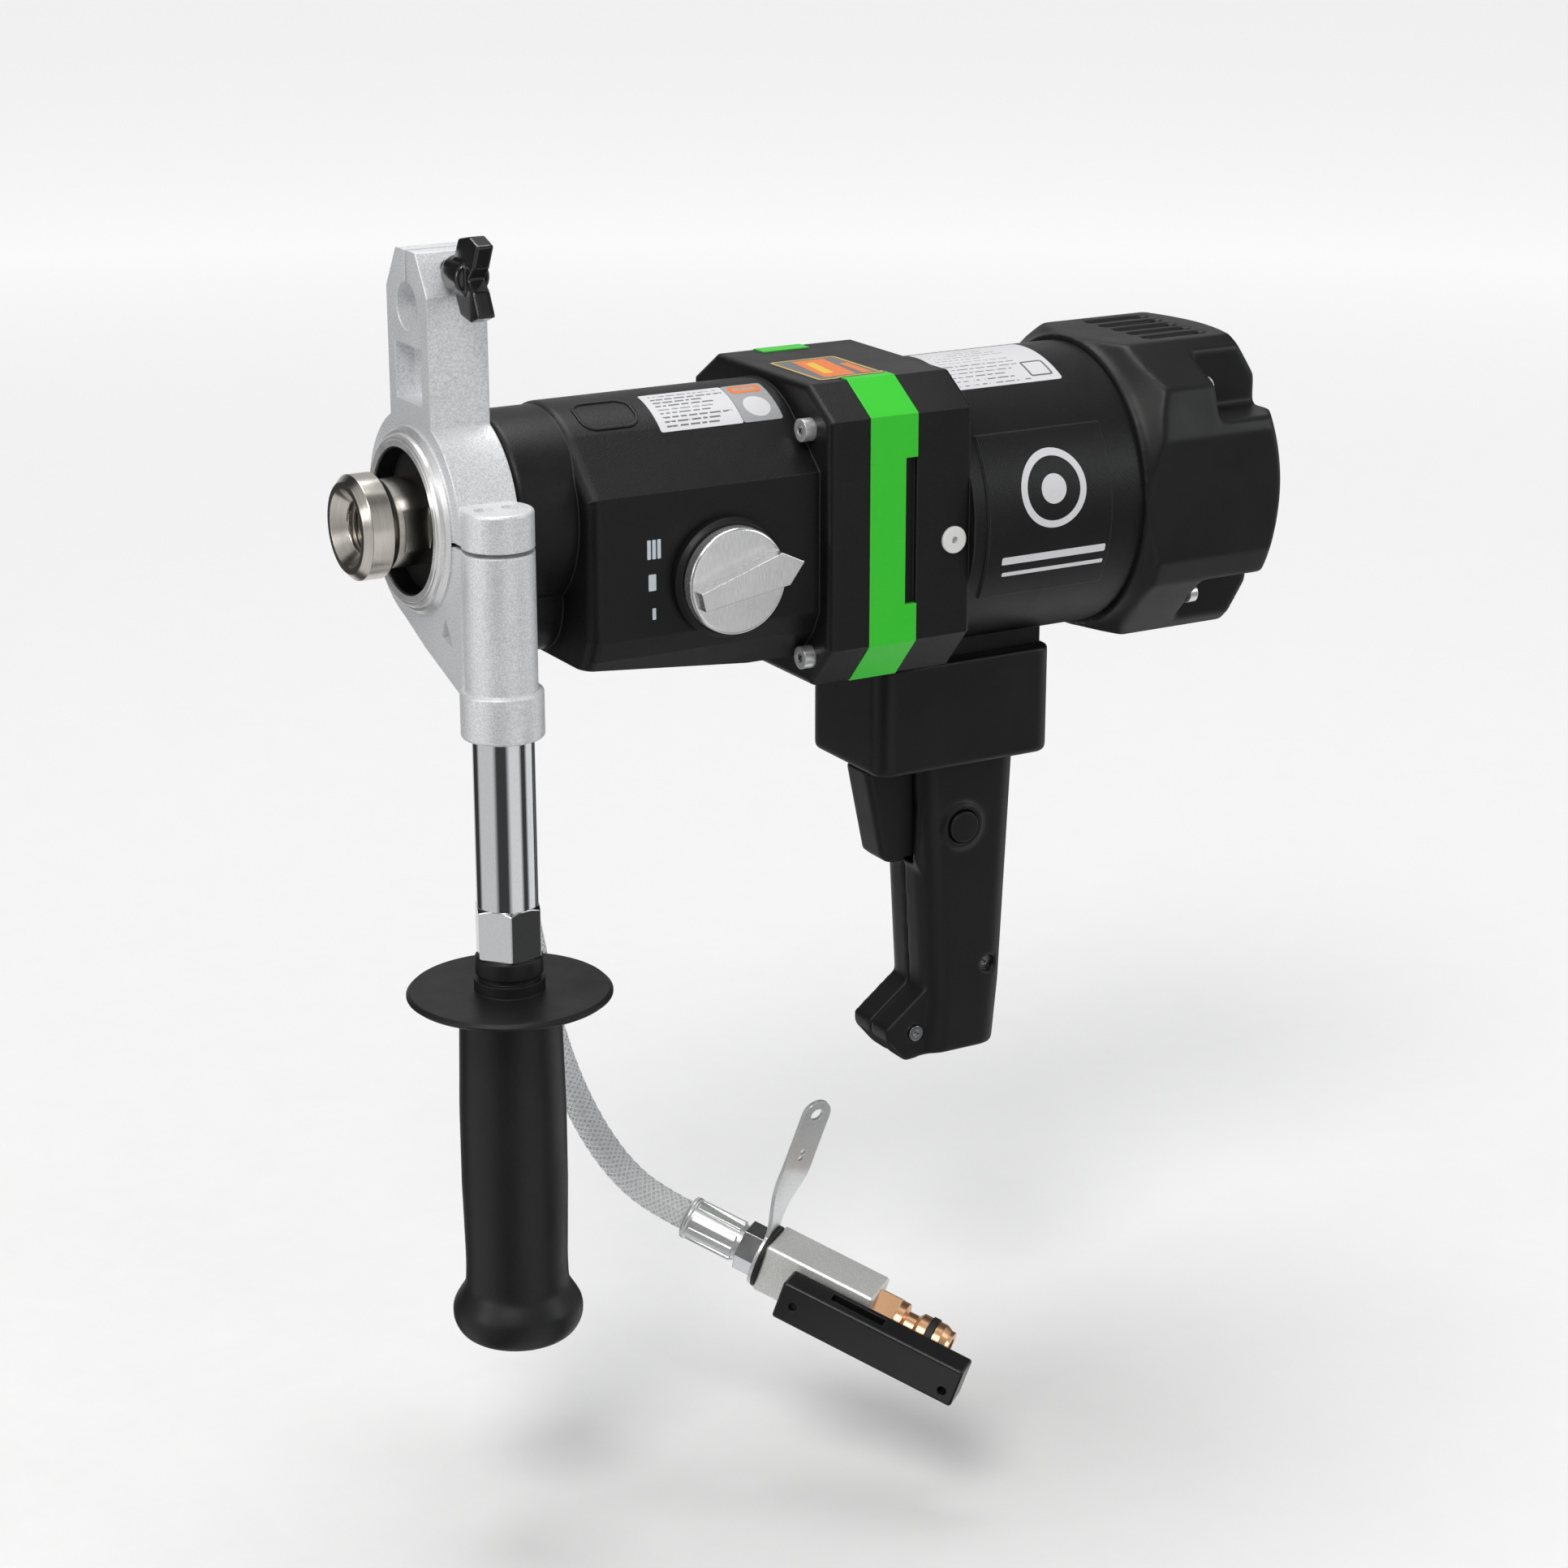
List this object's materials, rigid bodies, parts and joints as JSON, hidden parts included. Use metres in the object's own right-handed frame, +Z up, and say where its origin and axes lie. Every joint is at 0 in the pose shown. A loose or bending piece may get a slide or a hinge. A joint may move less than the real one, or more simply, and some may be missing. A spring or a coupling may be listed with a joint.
{
  "type": "hand-held wet core drill",
  "caption": "Hand-held wet core drilling machine with gearbox, motor, pistol grip, clamp bracket with side handle, and a water hose with ball valve.",
  "frame": {"origin": "on the spindle axis, at the front face of the clamp bracket", "axes": "+X from the spindle nose to the motor, +Z up, and the selector knob is on the -Y side"},
  "size_m": [0.369, 0.1927, 0.4301],
  "materials": {
    "black_casting": "fine-textured satin black powder coat on cast aluminium",
    "black_plastic": "satin black glass-filled plastic",
    "black_rubber": "matt black rubber",
    "green_plastic": "bright green moulded plastic",
    "white_plastic": "white plastic",
    "cast_aluminium": "light-grey blasted casting",
    "bright_aluminium": "brushed bright aluminium",
    "nickel_steel": "nickel-plated, turned",
    "chromed_steel": "bright chrome plate",
    "ground_steel": "ground steel",
    "core_iron": "laminated iron",
    "copper_wire": "enamelled copper",
    "insulating_plastic": "moulded insulating plastic",
    "carbon": "pressed carbon",
    "hose_braid": "steel-coloured braid over clear tube",
    "black_lever": "black anodised, satin",
    "copper_brass": "turned brass with a copper tint"
  },
  "bodies": {
    "housing": {"gear_housing": "black_casting", "casing_screws": "chromed_steel", "spindle_front_bearing": "ground_steel", "spindle_rear_bearing": "ground_steel", "spindle_seals": "black_rubber", "layshaft_bearings": "ground_steel", "mid_bearing_plate": "cast_aluminium", "rear_bearing_plate": "cast_aluminium", "detent_ring": "black_plastic", "fork_rail": "ground_steel", "green_band": "green_plastic", "motor_housing": "black_casting", "flange_plug": "white_plastic", "rear_cover": "black_plastic", "stator": "core_iron", "field_coils": "copper_wire", "armature_bearings": "ground_steel", "brush_carrier": "insulating_plastic", "carbon_brushes": "carbon", "electronics_box": "black_plastic", "control_module": "insulating_plastic", "grip_shell_left": "black_plastic", "grip_shell_right": "black_plastic", "grip_screws": "ground_steel", "switch_module": "insulating_plastic", "cord_gland": "black_rubber", "water_inlet": "chromed_steel", "water_hose": "hose_braid", "hose_ferrules": "bright_aluminium", "hose_nut": "chromed_steel", "retaining_strap": "bright_aluminium", "sealing_washer": "black_rubber", "valve_body": "bright_aluminium", "quick_plug": "copper_brass", "plug_o_ring": "black_rubber"},
    "spindle": {"spindle": "nickel_steel", "spindle_gear": "ground_steel"},
    "layshaft": {"layshaft": "ground_steel", "layshaft_wheel": "ground_steel"},
    "armature": {"armature_shaft": "ground_steel", "armature_core": "core_iron", "armature_windings": "copper_wire", "commutator": "copper_wire", "cooling_fan": "insulating_plastic"},
    "shift_collar": {"shift_collar": "ground_steel"},
    "shift_fork": {"shift_fork": "cast_aluminium"},
    "shift_knob": {"shift_knob": "bright_aluminium", "knob_shaft": "ground_steel"},
    "clamp_bracket": {"clamp_bracket": "cast_aluminium"},
    "wing_screw": {"wing_screw": "black_plastic"},
    "side_handle": {"handle_stud": "ground_steel", "handle_tube": "chromed_steel", "handle_hex": "chromed_steel", "hand_guard": "black_plastic", "handle_grip": "black_rubber"},
    "trigger": {"trigger": "black_plastic"},
    "lock_button": {"lock_button": "black_plastic"},
    "valve_lever": {"valve_ball": "ground_steel", "valve_lever": "black_lever", "lever_screw": "ground_steel"}
  },
  "joints": [
    {"name": "spindle_turn", "type": "hinge", "parent": "housing", "child": "spindle", "pos_m": [0, 0, 0], "axis": [1, 0, 0], "continuous": true},
    {"name": "layshaft_turn", "type": "hinge", "parent": "housing", "child": "layshaft", "pos_m": [0, 0, -0.0384], "axis": [1, 0, 0], "continuous": true},
    {"name": "armature_turn", "type": "hinge", "parent": "housing", "child": "armature", "pos_m": [0, 0, -0.0174], "axis": [1, 0, 0], "continuous": true},
    {"name": "knob_turn", "type": "hinge", "parent": "housing", "child": "shift_knob", "pos_m": [0.101, -0.044, -0.0235], "axis": [0, 1, 0], "range_deg": [0, 42]},
    {"name": "fork_slide", "type": "slide", "parent": "housing", "child": "shift_fork", "axis": [1, 0, 0], "range_m": [0, 0.00719]},
    {"name": "collar_slide", "type": "slide", "parent": "spindle", "child": "shift_collar", "axis": [1, 0, 0], "range_m": [0, 0.00719]},
    {"name": "bracket_swivel", "type": "hinge", "parent": "housing", "child": "clamp_bracket", "pos_m": [0.01125, 0, 0], "axis": [1, 0, 0], "continuous": true},
    {"name": "wing_turn", "type": "hinge", "parent": "clamp_bracket", "child": "wing_screw", "pos_m": [0.01125, -0.017, 0.089], "axis": [0, 1, 0], "continuous": true},
    {"name": "handle_turn", "type": "hinge", "parent": "clamp_bracket", "child": "side_handle", "pos_m": [0.01125, -0.045, -0.07], "axis": [0, 0, 1], "continuous": true},
    {"name": "trigger_pull", "type": "slide", "parent": "housing", "child": "trigger", "axis": [1, 0, 0], "range_m": [0, 0.006], "stiffness_N_per_m": 800, "springref_m": -0.002},
    {"name": "lock_press", "type": "slide", "parent": "housing", "child": "lock_button", "axis": [0, 1, 0], "range_m": [0, 0.0025], "stiffness_N_per_m": 600, "springref_m": -0.001},
    {"name": "lever_turn", "type": "hinge", "parent": "housing", "child": "valve_lever", "pos_m": [0.12453, -0.06857, -0.29691], "axis": [-0.7802, -0.6256, 0], "range_deg": [-90, 0]}
  ],
  "couplings": [
    {"joint": "layshaft_turn", "follows": "spindle_turn", "ratio": -2.5556},
    {"joint": "armature_turn", "follows": "spindle_turn", "ratio": 7.6667},
    {"joint": "fork_slide", "follows": "knob_turn", "m_per_rad": 0.009778},
    {"joint": "collar_slide", "follows": "knob_turn", "m_per_rad": 0.009778}
  ]
}
